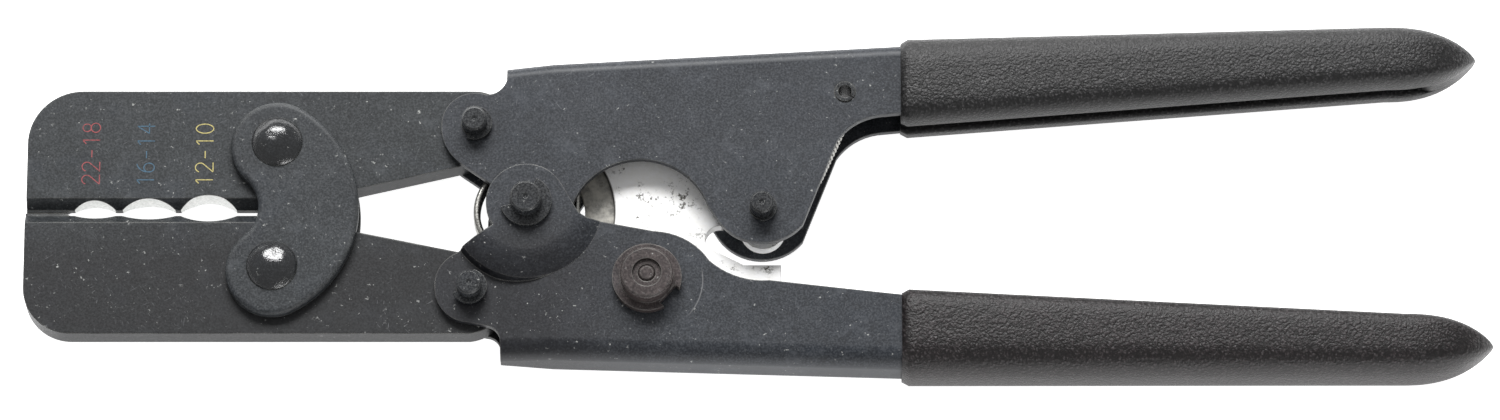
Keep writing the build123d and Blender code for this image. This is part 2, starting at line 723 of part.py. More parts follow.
# Pawl: hub, nose towards the teeth, heel and a tail for the pull spring.
nose_reach = PAWL_PIVOT[0] - TOOTH_TIP_R - TOOTH_GAP
pawl_flank = Vector(PAWL_HUB, 0).rotate(Axis.Z, PAWL_FLANK_ANGLE)
with BuildPart() as pawl:
    with BuildSketch(Plane.XY.offset(MID)):
        with BuildLine():
            Polyline(
                (PAWL_PIVOT[0] - nose_reach, PAWL_PIVOT[1]),
                (PAWL_PIVOT[0] - pawl_flank.X, PAWL_PIVOT[1] + pawl_flank.Y),
                PAWL_PIVOT,
                (PAWL_PIVOT[0] - pawl_flank.X, PAWL_PIVOT[1] - pawl_flank.Y),
                close=True,
            )
        make_face()
        with Locations(PAWL_PIVOT):
            Circle(PAWL_HUB)
        with Locations((PAWL_PIVOT[0] + 0.2, PAWL_PIVOT[1] - PAWL_HEEL_DROP)):
            Circle(PAWL_HEEL_R)
        with Locations(PAWL_TAIL):
            Circle(PAWL_TAIL_R)
        tail_angle = degrees(atan2(PAWL_TAIL[1] - PAWL_PIVOT[1], PAWL_TAIL[0] - PAWL_PIVOT[0]))
        tail_middle = tuple((a + b) / 2 for a, b in zip(PAWL_PIVOT, PAWL_TAIL))
        tail_length = hypot(PAWL_TAIL[0] - PAWL_PIVOT[0], PAWL_TAIL[1] - PAWL_PIVOT[1])
        with Locations(Location((*tail_middle, 0), (0, 0, tail_angle))):
            Rectangle(tail_length, 2 * PAWL_TAIL_R)
        with Locations(PAWL_TAIL):
            Circle(PAWL_EYE_R, mode=Mode.SUBTRACT)
    extrude(amount=RATCHET_THICK / 2, both=True)
    bore(PAWL_PIVOT, PAWL_PIN_R + RUN)

# Pull spring of the pawl: close-wound body with a hook at each end.
pull_span = hypot(SPRING_POST[0] - PAWL_TAIL[0], SPRING_POST[1] - PAWL_TAIL[1])
pull_line = Plane(
    origin=(*PAWL_TAIL, MID),
    x_dir=(0, 0, 1),
    z_dir=(SPRING_POST[0] - PAWL_TAIL[0], SPRING_POST[1] - PAWL_TAIL[1], 0),
)
post_loop = POST_R + PULL_WIRE / 2 + RUN
coil_start = 2 * PULL_LOOP_R - PULL_WIRE / 2
coil_end = pull_span - post_loop + PULL_WIRE / 2
with BuildPart() as pawl_spring:
    with BuildSketch(pull_line.offset(coil_start)):
        Circle(PULL_SPRING_R)
        Circle(PULL_SPRING_R - PULL_WIRE, mode=Mode.SUBTRACT)
    extrude(amount=coil_end - POST_R - coil_start)
    with BuildSketch(pull_line.offset(coil_end - POST_R - PULL_WIRE)):
        Circle(PULL_SPRING_R)
    extrude(amount=PULL_WIRE)
    with BuildSketch(pull_line.offset(coil_start)):
        Circle(PULL_SPRING_R)
    extrude(amount=PULL_WIRE)
    with Locations(Plane(origin=(*SPRING_POST, MID))):
        Torus(post_loop, PULL_WIRE / 2)
    with Locations(
        Plane(
            origin=pull_line.offset(PULL_LOOP_R).origin,
            x_dir=pull_line.z_dir,
            z_dir=pull_line.y_dir,
        )
    ):
        Torus(PULL_LOOP_R, PULL_WIRE / 2)
    with BuildSketch(pull_line.offset(coil_end - POST_R)):
        Circle(PULL_WIRE / 2)
    extrude(amount=POST_R)

# Torsion spring of the handles: coil about the bush, one leg to each spine.
leg_height = RATCHET_THICK / 2 + SLIDE + TORSION_WIRE / 2
leg_radius = TORSION_R - TORSION_WIRE / 2
(nose_x, nose_y), (rail_x, rail_y) = upper_spine[:2]
upper_seat = nose_y + (rail_y - nose_y) * (leg_radius - nose_x) / (rail_x - nose_x)
with BuildPart() as torsion_spring:
    with BuildSketch(Plane.XY.offset(MID)):
        Circle(TORSION_R)
        Circle(TORSION_R - TORSION_WIRE, mode=Mode.SUBTRACT)
    extrude(amount=leg_height + TORSION_WIRE / 2 + SEAT, both=True)
    for side, reach in ((1, upper_seat - FRAME_SHEET - LEG_GAP), (-1, -above_spine(leg_radius) - SLIDE)):
        with BuildSketch(Plane(origin=(leg_radius, 0, MID + side * leg_height), z_dir=(0, side, 0))):
            Circle(TORSION_WIRE / 2 - SEAT)
        extrude(amount=reach)

# Adjuster: knob with an eccentric shank, its stop ring and lock screw.
adjuster_seat = BODY_HALF + SEAT
boss_top = adjuster_seat + FLANGE + BOSS
with BuildPart() as adjuster_wheel:
    turn(
        ADJUSTER,
        (0, -BODY_HALF),
        (SHANK_R, -BODY_HALF),
        (SHANK_R, adjuster_seat),
        (FLANGE_R, adjuster_seat),
        (FLANGE_R, adjuster_seat + FLANGE),
        (BOSS_R, adjuster_seat + FLANGE),
        (BOSS_R, boss_top - END_CHAMFER),
        (BOSS_R - END_CHAMFER, boss_top),
        (BOSS_RECESS_R, boss_top),
        (BOSS_RECESS_R, boss_top - BOSS_RECESS),
        (LOCK_SCREW_R + RUN, boss_top - BOSS_RECESS),
        (LOCK_SCREW_R + RUN, boss_top - FLANGE - BOSS),
        (0, boss_top - FLANGE - BOSS),
    )
    with BuildSketch(Plane.XY.offset(MID + adjuster_seat)):
        with Locations(Location((*ADJUSTER, 0), (0, 0, -40))):
            with Locations((FLANGE_R, 0)):
                Rectangle(2 * FLANGE_NOTCH, 3 * FLANGE_NOTCH)
    extrude(amount=FLANGE, mode=Mode.SUBTRACT)

with BuildPart() as adjuster_retaining_ring:
    with BuildSketch(Plane.XY.offset(MID + boss_top - BOSS_RECESS + SEAT)):
        with Locations(ADJUSTER):
            Circle(BOSS_RECESS_R - RUN)
            Circle(LOCK_SCREW_R + 2 * RUN, mode=Mode.SUBTRACT)
    extrude(amount=BOSS_RECESS / 2)

with BuildPart() as adjuster_lock_screw:
    screw_top = boss_top - LOCK_SCREW_SINK
    turn(
        ADJUSTER,
        (0, boss_top - FLANGE - BOSS + SEAT),
        (LOCK_SCREW_R, boss_top - FLANGE - BOSS + SEAT),
        (LOCK_SCREW_R, screw_top - END_CHAMFER),
        (LOCK_SCREW_R - END_CHAMFER, screw_top),
        (0, screw_top),
    )

pieces = {
    "lower_frame": lower_frame,
    "lower_grip": lower_grip,
    "ratchet_plate": ratchet_plate,
    "torsion_spring": torsion_spring,
    "main_pivot_pin": main_pivot_pin,
    "main_pin_clip": main_pin_clip,
    "pivot_bush": pivot_bush,
    "lower_jaw_pin": lower_jaw_pin,
    "lower_jaw_pin_clip": lower_jaw_pin_clip,
    "upper_frame": upper_frame,
    "upper_grip": upper_grip,
    "upper_jaw_pin": upper_jaw_pin,
    "upper_jaw_pin_clip": upper_jaw_pin_clip,
    "pawl_pin": pawl_pin,
    "pawl_pin_clip": pawl_pin_clip,
    "spring_anchor_pin": spring_anchor_pin,
    "pawl_spring": pawl_spring,
    "upper_jaw": upper_jaw,
    "lower_jaw": lower_jaw,
    "front_link_plate": front_link_plate,
    "rear_link_plate": rear_link_plate,
    "upper_link_rivet": upper_link_rivet,
    "lower_link_rivet": lower_link_rivet,
    "pawl": pawl,
    "adjuster_wheel": adjuster_wheel,
    "adjuster_retaining_ring": adjuster_retaining_ring,
    "adjuster_lock_screw": adjuster_lock_screw,
}
for label, piece in pieces.items():
    piece.part.label = label
    export_step(piece.part, f"parts/{label}.step")
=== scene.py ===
import math

import bpy
import numpy as np
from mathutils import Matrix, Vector


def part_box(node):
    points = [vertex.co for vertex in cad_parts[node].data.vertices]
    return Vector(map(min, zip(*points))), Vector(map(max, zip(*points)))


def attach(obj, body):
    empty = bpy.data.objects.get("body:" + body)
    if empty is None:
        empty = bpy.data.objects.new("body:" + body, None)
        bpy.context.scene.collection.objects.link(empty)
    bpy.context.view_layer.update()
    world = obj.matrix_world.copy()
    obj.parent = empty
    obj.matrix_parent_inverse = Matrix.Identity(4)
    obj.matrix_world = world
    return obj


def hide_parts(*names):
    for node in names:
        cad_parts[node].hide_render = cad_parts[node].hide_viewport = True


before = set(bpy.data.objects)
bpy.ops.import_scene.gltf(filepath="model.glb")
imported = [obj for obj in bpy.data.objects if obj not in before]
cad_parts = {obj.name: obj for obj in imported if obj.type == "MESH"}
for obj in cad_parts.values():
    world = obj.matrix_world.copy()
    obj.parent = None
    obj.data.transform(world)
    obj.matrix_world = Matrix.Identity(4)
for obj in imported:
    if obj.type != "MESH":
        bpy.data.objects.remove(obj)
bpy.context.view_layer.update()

# A compound-action ratchet crimper lying on its rear side: forged jaws between two link
# plates, folded sheet frames on one main pivot, a toothed plate with its pawl, and
# handles dipped in vinyl. Lengths named here are millimetres; MM turns them into metres.

MM = 0.001


def middle(node):
    """Centre of a node's box, in millimetres."""
    low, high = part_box(node)
    return (np.array(low) + np.array(high)) / 2 / MM


def corners(node):
    """Lowest and highest corner of a node's box, in millimetres."""
    low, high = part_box(node)
    return np.array(low) / MM, np.array(high) / MM


MID = middle("lower_frame")[2]  # height of the tool's mid-plane over the bench


# ---------------------------------------------------------------- nodes and colours


def colour_of(code):
    """Linear colour of an sRGB hex code, fully opaque."""
    values = [int(code[i : i + 2], 16) / 255 for i in (0, 2, 4)]
    linear = [v / 12.92 if v <= 0.04045 else ((v + 0.055) / 1.055) ** 2.4 for v in values]
    return (*linear, 1.0)


def put(tree, kind, settings=None):
    """Adds a node: a socket value is linked, an attribute is set, the rest are inputs."""
    node = tree.nodes.new(kind)
    for key, value in (settings or {}).items():
        if isinstance(key, str) and hasattr(node, key) and key not in node.inputs:
            setattr(node, key, value)
        elif isinstance(value, bpy.types.NodeSocket):
            tree.links.new(value, node.inputs[key])
        else:
            node.inputs[key].default_value = value
    return node


def material(name):
    """Empty node material and its tree."""
    made = bpy.data.materials.new(name)
    made.use_nodes = True
    made.node_tree.nodes.clear()
    return made, made.node_tree


def finish(tree, shader):
    """Gives the material its output, fed by a shader."""
    put(tree, "ShaderNodeOutputMaterial", {"Surface": shader.outputs[0]})


def ramp(tree, factor, *stops):
    """Colour ramp with (position, hex) stops."""
    node = put(tree, "ShaderNodeValToRGB", {"Fac": factor})
    bar = node.color_ramp
    while len(bar.elements) < len(stops):
        bar.elements.new(0.5)
    for element, (place, code) in zip(bar.elements, stops):
        element.position = place
        element.color = colour_of(code)
    return node.outputs["Color"]


def grain(tree, place, size, detail=3.0, rough=0.6):
    """Noise whose spots are about size millimetres across."""
    settings = {"Vector": place, "Scale": 1 / (size * MM), "Detail": detail, "Roughness": rough}
    return put(tree, "ShaderNodeTexNoise", settings).outputs["Fac"]


def spread(tree, value, low, high, to_low=0.0, to_high=1.0):
    """Stretches a stretch of values over another one, and holds the ends."""
    settings = {"Value": value, "From Min": low, "From Max": high, "To Min": to_low, "To Max": to_high}
    return put(tree, "ShaderNodeMapRange", settings).outputs["Result"]


def math_of(tree, operation, first, second=0.0):
    """Result of one sum on one or two values."""
    return put(tree, "ShaderNodeMath", {"operation": operation, 0: first, 1: second}).outputs[0]


def blend_of(tree, factor, first, second):
    """Colour between two, by a factor."""
    node = put(tree, "ShaderNodeMix", {"data_type": "RGBA"})
    for index, value in ((0, factor), (6, first), (7, second)):
        if isinstance(value, bpy.types.NodeSocket):
            tree.links.new(value, node.inputs[index])
        else:
            node.inputs[index].default_value = value
    return node.outputs[2]


EDGE_TURNED = 0.80  # the rounded normal is this near the flat one at an edge's middle
EDGE_FLAT = 0.985  # and this near where the edge ends


def rounded_edge(tree, radius):
    """Rounded normal, and a mask that is 1 along the edges, for painting them another colour."""
    soft = put(tree, "ShaderNodeBevel", {"samples": 4, "Radius": radius * MM}).outputs[0]
    flat = put(tree, "ShaderNodeNewGeometry").outputs["True Normal"]
    settings = {"operation": "DOT_PRODUCT", 0: soft, 1: flat}
    close = put(tree, "ShaderNodeVectorMath", settings).outputs["Value"]
    return soft, spread(tree, close, EDGE_FLAT, EDGE_TURNED)


# ---------------------------------------------------------------- materials


def product(tree, first, *others):
    """Several masks multiplied together."""
    for other in others:
        first = math_of(tree, "MULTIPLY", first, other)
    return first


def radius_from(tree, place, centre):
    """Distance from an upright axis through a point given in millimetres."""
    settings = {"operation": "SUBTRACT", 0: place, 1: tuple(c * MM for c in centre)}
    offset = put(tree, "ShaderNodeVectorMath", settings).outputs["Vector"]
    settings = {"operation": "MULTIPLY", 0: offset, 1: (1, 1, 0)}
    level = put(tree, "ShaderNodeVectorMath", settings).outputs["Vector"]
    settings = {"operation": "LENGTH", 0: level}
    return level, put(tree, "ShaderNodeVectorMath", settings).outputs["Value"]


def near(tree, value, target, width):
    """Mask that is 1 at a target value and falls to 0 a width away, in millimetres."""
    gap = math_of(tree, "ABSOLUTE", math_of(tree, "SUBTRACT", value, target * MM))
    return spread(tree, gap, width * MM, 0.0)


def hairlines(tree, place, lean, size):
    """Sparse thin scratches that run at an angle in degrees."""
    settings = {"vector_type": "TEXTURE", "Rotation": (0, 0, math.radians(lean)), "Scale": (9, 1, 1)}
    drawn = put(tree, "ShaderNodeMapping", settings | {"Vector": place}).outputs[0]
    return spread(tree, grain(tree, drawn, size, 1.0), 0.72, 0.78)


def black_oxide(
    name, dark, light, worn, rough=0.42, edge=0.35, tooth=0.008, gloss=0.3, painted_shade=None, scuff=None
):
    """Steel with a hot black oxide finish: a charcoal skin that shades from blue to brown,
    a fine tooth from the blasted sheet, irregular pale specks of dust, hairline scratches
    and lighter edges, partly handling wear and partly painted edge highlight. The painted
    shade is a dark colour laid below and ahead of the main pivot, as painted shade on the
    lower side of the frames' swell; a scuff is an arc worn round a point, given as
    (centre, radius, direction).
    The tooth is the height of the surface's grain and the edge the radius of its corners,
    in millimetres; gloss is the strength of its reflection."""
    made, tree = material(name)
    place = put(tree, "ShaderNodeTexCoord").outputs["Object"]
    cloud = grain(tree, place, 16.0, 3.0)
    fine = grain(tree, place, 0.38, 2.0)
    mottle = grain(tree, place, 1.6, 4.0, 0.7)
    stains = grain(tree, place, 4.6, 6.0, 0.7)
    crumbs = grain(tree, place, 0.8, 3.0, 0.6)
    base = ramp(tree, spread(tree, cloud, 0.3, 0.72), (0.0, dark), (1.0, light))
    bluing = grain(tree, place, 9.0, 2.0)
    base = blend_of(tree, spread(tree, bluing, 0.52, 0.70, 0.0, 0.35), base, colour_of("282d35"))
    base = blend_of(tree, spread(tree, fine, 0.42, 0.72, 0.0, 0.55), base, colour_of(worn))
    base = blend_of(tree, spread(tree, mottle, 0.50, 0.30, 0.0, 0.40), base, colour_of("131416"))
    base = blend_of(tree, spread(tree, stains, 0.54, 0.72, 0.0, 0.42), base, colour_of(worn))
    # Painted shade: darker towards -Y and ahead of the main pivot, like the swell's shaded lower side.
    if painted_shade:
        parts = put(tree, "ShaderNodeSeparateXYZ", {"Vector": place}).outputs
        ahead = spread(tree, parts["X"], 26 * MM, 4 * MM)
        below = spread(tree, parts["Y"], 1 * MM, -10 * MM, 0.0, 0.62)
        base = blend_of(tree, product(tree, ahead, below), base, colour_of(painted_shade))
    specks = product(tree, spread(tree, crumbs, 0.66, 0.73), spread(tree, stains, 0.46, 0.56, 0.1, 0.8))
    base = blend_of(tree, specks, base, colour_of("a9aaa7"))
    for lean, size in ((28, 0.22), (-52, 0.20), (84, 0.20)):
        lines = product(tree, hairlines(tree, place, lean, size), spread(tree, cloud, 0.46, 0.60, 0.0, 0.35))
        base = blend_of(tree, lines, base, colour_of("85878a"))
    if scuff:
        centre, radius, toward = scuff
        level, reach = radius_from(tree, place, centre)
        heading = put(tree, "ShaderNodeVectorMath", {"operation": "NORMALIZE", 0: level}).outputs["Vector"]
        settings = {"operation": "DOT_PRODUCT", 0: heading, 1: toward}
        side = put(tree, "ShaderNodeVectorMath", settings).outputs["Value"]
        worn_arc = product(tree, near(tree, reach, radius, 0.18), spread(tree, side, 0.88, 0.95, 0.0, 0.35))
        base = blend_of(tree, worn_arc, base, colour_of("9a9a9a"))
    soft, edge_band = rounded_edge(tree, edge)
    # Edges painted lighter: partly handling wear, partly a painted highlight where the edges catch the
    # light.
    edge_wear_and_highlight = product(tree, edge_band, spread(tree, stains, 0.34, 0.64, 0.15, 0.75))
    base = blend_of(tree, edge_wear_and_highlight, base, colour_of("9b9a95"))
    height = math_of(tree, "ADD", fine, math_of(tree, "MULTIPLY", stains, 0.6))
    settings = {"Strength": 1.0, "Distance": tooth * MM, "Height": height, "Normal": soft}
    bump = put(tree, "ShaderNodeBump", settings).outputs[0]
    settings = {
        "Base Color": base,
        "Roughness": spread(tree, fine, 0.3, 0.7, rough - 0.06, rough + 0.10),
        "Normal": bump,
        "Metallic": 0.0,
        "IOR": 1.5,
        "Specular IOR Level": gloss,
    }
    finish(tree, put(tree, "ShaderNodeBsdfPrincipled", settings))
    return made


LAND_DEPTH = 0.62  # the nests' walls begin this far from the jaws' meeting line
NEST_DEPTH = 3.2
NEST_END = -52.5  # no nest lies beyond this X


def jaw_steel(name):
    """Forged and ground jaw: black oxide outside, and bare ground steel in the nests,
    where the walls curve away from the lands. Grinding lines run across the jaw."""
    # The painted shade darkens the jaws towards -Y, over the lower jaw.
    made = black_oxide(name, "1e2123", "272a2c", "4b4e51", rough=0.42, edge=0.4, painted_shade="151314")
    tree = made.node_tree
    shader = next(n for n in tree.nodes if n.type == "BSDF_PRINCIPLED")
    place = put(tree, "ShaderNodeTexCoord").outputs["Object"]
    parts = put(tree, "ShaderNodeSeparateXYZ", {"Vector": place}).outputs
    facing = put(tree, "ShaderNodeNewGeometry").outputs["True Normal"]
    tilt = put(tree, "ShaderNodeSeparateXYZ", {"Vector": facing}).outputs["Z"]
    wall = spread(tree, math_of(tree, "ABSOLUTE", tilt), 0.35, 0.15)
    depth = math_of(tree, "ABSOLUTE", parts["Y"])
    past_land = spread(tree, depth, (LAND_DEPTH - 0.04) * MM, LAND_DEPTH * MM)
    within = spread(tree, depth, (NEST_DEPTH + 0.1) * MM, NEST_DEPTH * MM)
    ahead = spread(tree, parts["X"], (NEST_END + 0.5) * MM, NEST_END * MM)
    nest = product(tree, wall, past_land, within, ahead)
    hatch = put(tree, "ShaderNodeMapping", {"Vector": place, "Scale": (1.0, 0.05, 1.0)}).outputs[0]
    bare = ramp(tree, grain(tree, hatch, 0.5, 2.0), (0.3, "dcdedb"), (0.7, "fbfbfa"))
    skin = shader.inputs["Base Color"].links[0].from_socket
    tree.links.new(blend_of(tree, nest, skin, bare), shader.inputs["Base Color"])
    tree.links.new(math_of(tree, "MULTIPLY", nest, 0.6), shader.inputs["Metallic"])
    return made


def dipped_vinyl(name, dark, light):
    """PVC plastisol from a dip tank: soft black skin with an orange-peel surface, a low
    broad gloss, painted glints on the crown of each blister, painted shade in the hollows
    between them and a few caught specks."""
    made, tree = material(name)
    place = put(tree, "ShaderNodeTexCoord").outputs["Object"]
    settings = {"feature": "SMOOTH_F1", "Vector": place, "Scale": 1 / (0.6 * MM), "Smoothness": 0.5}
    cells = put(tree, "ShaderNodeTexVoronoi", settings).outputs["Distance"]
    ripple = grain(tree, place, 0.34, 3.0, 0.55)
    broad = grain(tree, place, 8.0, 3.0)
    crumbs = grain(tree, place, 0.9, 3.0, 0.6)
    height = math_of(tree, "ADD", math_of(tree, "MULTIPLY", cells, -0.6), ripple)
    base = ramp(tree, spread(tree, broad, 0.3, 0.7), (0.0, dark), (1.0, light))
    # Painted shade in the hollows of the orange peel, and painted glints on the blisters' crowns.
    base = blend_of(tree, spread(tree, height, 0.16, 0.40, 0.75, 0.0), base, colour_of("070606"))
    base = blend_of(tree, spread(tree, height, 0.30, 0.48, 0.0, 0.5), base, colour_of("4a4748"))
    specks = product(tree, spread(tree, crumbs, 0.73, 0.78), spread(tree, broad, 0.45, 0.6, 0.0, 0.9))
    base = blend_of(tree, specks, base, colour_of("a9a6a4"))
    settings = {"Strength": 1.0, "Distance": 0.16 * MM, "Height": height}
    bump = put(tree, "ShaderNodeBump", settings).outputs[0]
    settings = {
        "Base Color": base,
        "Roughness": spread(tree, ripple, 0.3, 0.7, 0.32, 0.50),
        "Normal": bump,
        "IOR": 1.53,
        "Specular IOR Level": 0.34,
    }
    finish(tree, put(tree, "ShaderNodeBsdfPrincipled", settings))
    return made


RECESS_EDGE = 16.5  # radius of the ratchet plate's recess about the main pivot
PIT_PATCH = (28.5, 2.2, 0)


def bright_zinc(name):
    """Clear zinc plate on stamped steel: near white, finely grained, with small dark pits
    where it has rusted through, and a recess painted darker grey as painted shade, inside
    a dark ring of painted shadow along the recess's step."""
    made, tree = material(name)
    place = put(tree, "ShaderNodeTexCoord").outputs["Object"]
    mottled = grain(tree, place, 1.6, 5.0, 0.65)
    pits = grain(tree, place, 0.9, 5.0, 0.72)
    patches = grain(tree, place, 5.0, 2.0)
    base = ramp(tree, mottled, (0.25, "f6f5f1"), (0.6, "ffffff"))
    reach = radius_from(tree, place, (0, 0, 0))[1]
    from_patch = radius_from(tree, place, PIT_PATCH)[1]
    recess = spread(tree, reach, (RECESS_EDGE + 0.05) * MM, (RECESS_EDGE - 0.1) * MM)
    # Painted shade: the recess inside RECESS_EDGE is coloured a darker grey.
    recess_shade = ramp(tree, mottled, (0.35, "4d4a43"), (0.62, "a6a296"))
    base = blend_of(tree, product(tree, recess, 0.85), base, recess_shade)
    # Painted shadow: a dark ring along the recess's step.
    base = blend_of(tree, near(tree, reach, RECESS_EDGE, 0.3), base, colour_of("24211d"))
    clustered = spread(tree, from_patch, 5.5 * MM, 1.5 * MM)
    scattered = spread(tree, patches, 0.52, 0.66)
    sparse = product(tree, spread(tree, pits, 0.55, 0.61), math_of(tree, "MAXIMUM", clustered, scattered))
    base = blend_of(tree, sparse, base, colour_of("4a4740"))
    soft, edge_band = rounded_edge(tree, 0.3)
    base = blend_of(tree, product(tree, edge_band, 0.3), base, colour_of("8d897d"))
    settings = {"Strength": 0.2, "Distance": 0.05 * MM, "Height": mottled, "Normal": soft}
    bump = put(tree, "ShaderNodeBump", settings).outputs[0]
    settings = {
        "Base Color": base,
        "Metallic": 0.0,
        "Roughness": spread(tree, mottled, 0.3, 0.7, 0.38, 0.55),
        "Normal": bump,
    }
    finish(tree, put(tree, "ShaderNodeBsdfPrincipled", settings))
    return made


def drawn_wire(name):
    """Music wire drawn through a die: bright grey, with fine lines round the wire."""
    made, tree = material(name)
    place = put(tree, "ShaderNodeTexCoord").outputs["Object"]
    lines = grain(tree, place, 0.4, 3.0)
    settings = {
        "Base Color": ramp(tree, lines, (0.3, "8e8d88"), (0.7, "c9c8c3")),
        "Metallic": 1.0,
        "Roughness": spread(tree, lines, 0.3, 0.7, 0.24, 0.4),
    }
    finish(tree, put(tree, "ShaderNodeBsdfPrincipled", settings))
    return made


def stamping_paint(name, code, wear):
    """Enamel rubbed into stamped figures: flat, thin, and lost in places."""
    made, tree = material(name)
    place = put(tree, "ShaderNodeTexCoord").outputs["Object"]
    thin = grain(tree, place, 0.5, 3.0)
    base = blend_of(tree, spread(tree, thin, 0.45, 0.68, 0.0, wear), colour_of(code), colour_of("2b2e31"))
    settings = {"Base Color": base, "Roughness": 0.5, "Specular IOR Level": 0.3}
    finish(tree, put(tree, "ShaderNodeBsdfPrincipled", settings))
    return made


ADJUSTER_SCUFF = (middle("adjuster_wheel"), 10.4, (0.966, -0.259, 0))

# The frames get painted shade below and ahead of the main pivot.
SHEET = black_oxide(
    "black_oxide_on_folded_sheet", "1f2227", "292c31", "505358", painted_shade="121012", scuff=ADJUSTER_SCUFF
)
LINKS = black_oxide("black_oxide_on_stamped_links", "1e2124", "272a2d", "4f5255", edge=0.9)
PINS = black_oxide(
    "black_oxide_on_turned_pins", "191a1c", "252729", "4c4e50", rough=0.26, edge=0.16, gloss=0.4
)
DOMES = black_oxide(
    "black_oxide_on_hammered_rivets", "121315", "1a1c1e", "333537", rough=0.15, tooth=0.05, gloss=0.75
)
BROWNED = black_oxide("browned_steel_on_adjuster", "2b2626", "373030", "625957", rough=0.36, edge=0.4)
JAWS = jaw_steel("black_oxide_on_ground_jaws")
UPPER_VINYL = dipped_vinyl("dipped_vinyl_neutral_black", "19191a", "252526")
LOWER_VINYL = dipped_vinyl("dipped_vinyl_brown_black", "1b1516", "261e20")
ZINC = bright_zinc("bright_zinc_plate")
WIRE = drawn_wire("drawn_music_wire")
MARK_PAINTS = (
    stamping_paint("red_stamping_enamel", "8f4447", 0.6),
    stamping_paint("blue_stamping_enamel", "3f5f74", 0.6),
    stamping_paint("yellow_stamping_enamel", "b5a96c", 0.45),
)


# ---------------------------------------------------------------- mesh makers


def mesh_piece(name, points, faces, finish_material, smooth=True):
    """Object at the origin from points in millimetres."""
    mesh = bpy.data.meshes.new(name)
    mesh.from_pydata((np.asarray(points) * MM).tolist(), [], faces)
    mesh.polygons.foreach_set("use_smooth", np.full(len(mesh.polygons), smooth))
    mesh.materials.append(finish_material)
    mesh.update()
    piece = bpy.data.objects.new(name, mesh)
    bpy.context.scene.collection.objects.link(piece)
    return piece


def ring_faces(rings, count, offset=0):
    """Quads between neighbouring closed rings of points, with a face over each end."""
    row = np.arange(rings - 1)[:, None] * count
    here = np.arange(count)[None, :]
    after = (here + 1) % count
    quads = np.stack((row + here, row + after, row + count + after, row + count + here), -1)
    faces = (quads.reshape(-1, 4) + offset).tolist()
    faces.append((np.arange(count)[::-1] + offset).tolist())
    faces.append((np.arange(count) + (rings - 1) * count + offset).tolist())
    return faces


def lofted(name, rings, finish_material):
    """Closed skin over rings of points, an array (rings, points, 3)."""
    count = rings.shape[1]
    return mesh_piece(name, rings.reshape(-1, 3), ring_faces(len(rings), count), finish_material)


def wire_rings(path, radius, sides, lean):
    """Round wire: at each point of the path, a circle square to the path's direction,
    set out from the vector lean x direction and its perpendicular."""
    run = np.gradient(path, axis=0)
    run /= np.linalg.norm(run, axis=1, keepdims=True)
    side = np.cross(lean, run)
    side /= np.linalg.norm(side, axis=1, keepdims=True)
    rise = np.cross(run, side)
    turn = np.linspace(0, 2 * np.pi, sides, endpoint=False)[None, :, None]
    return path[:, None] + radius * (np.cos(turn) * side[:, None] + np.sin(turn) * rise[:, None])


def joined_wires(name, wires, finish_material):
    """Several wires' rings as one mesh, each with its ends closed."""
    points, faces, offset = [], [], 0
    for rings in wires:
        faces += ring_faces(len(rings), rings.shape[1], offset)
        points.append(rings.reshape(-1, 3))
        offset += rings.shape[0] * rings.shape[1]
    return mesh_piece(name, np.concatenate(points), faces, finish_material)


# ---------------------------------------------------------------- camera, light, floor

VIEW_WIDTH = 281.25  # what the frame takes in across the tool's mid-plane
LENS = 200.0
SENSOR = 36.0
TILT = math.radians(17.4)  # the view leans this far from straight down
AIM = Vector((41.8, 0.9, MID)) * MM


def set_camera():
    """Long lens over the tool, far enough off to take in the view's width."""
    camera = bpy.data.cameras.new("camera")
    camera.lens = LENS
    camera.sensor_width = SENSOR
    camera.clip_end = 10.0
    holder = bpy.data.objects.new("camera", camera)
    bpy.context.scene.collection.objects.link(holder)
    away = VIEW_WIDTH * MM * LENS / SENSOR
    holder.location = AIM + Vector((0, -math.sin(TILT), math.cos(TILT))) * away
    holder.rotation_euler = (TILT, 0, 0)
    bpy.context.scene.camera = holder


def set_light(name, place, size, power):
    """Rectangular lamp turned towards the middle of the view. Place and size are metres."""
    lamp = bpy.data.lights.new(name, "AREA")
    lamp.shape = "RECTANGLE"
    lamp.size, lamp.size_y = size
    lamp.energy = power
    holder = bpy.data.objects.new(name, lamp)
    bpy.context.scene.collection.objects.link(holder)
    holder.location = place
    holder.rotation_euler = (AIM - Vector(place)).to_track_quat("-Z", "Y").to_euler()


FLOOR_GLOW = 0.9  # strength of the table's own light
SKY = 0.42  # strength of the white room round it
TABLE_REACH = 3000.0  # from the table's middle to its edge


def set_stage():
    """Evenly lit white table: it glows a little, so the tool throws almost no shadow."""
    world = bpy.data.worlds.new("studio")
    bpy.context.scene.world = world
    world.use_nodes = True
    world.node_tree.nodes["Background"].inputs["Color"].default_value = (1, 1, 1, 1)
    world.node_tree.nodes["Background"].inputs["Strength"].default_value = SKY
    made, tree = material("white_light_table")
    settings = {"Base Color": colour_of("f4f4f4"), "Roughness": 0.9, "Specular IOR Level": 0.0}
    settings |= {"Emission Color": colour_of("ffffff"), "Emission Strength": FLOOR_GLOW}
    finish(tree, put(tree, "ShaderNodeBsdfPrincipled", settings))
    reach = TABLE_REACH
    square = [(-reach, -reach, 0), (reach, -reach, 0), (reach, reach, 0), (-reach, reach, 0)]
    mesh_piece("floor", square, [(0, 1, 2, 3)], made, smooth=False)


set_camera()
set_stage()
set_light("key_softbox", (-0.05, 0.75, 0.72), (0.8, 0.35), 18.0)
set_light("edge_strip", (0.45, -0.85, 0.16), (0.7, 0.10), 3.0)
bpy.context.scene.view_settings.view_transform = "Standard"


# ---------------------------------------------------------------- grips

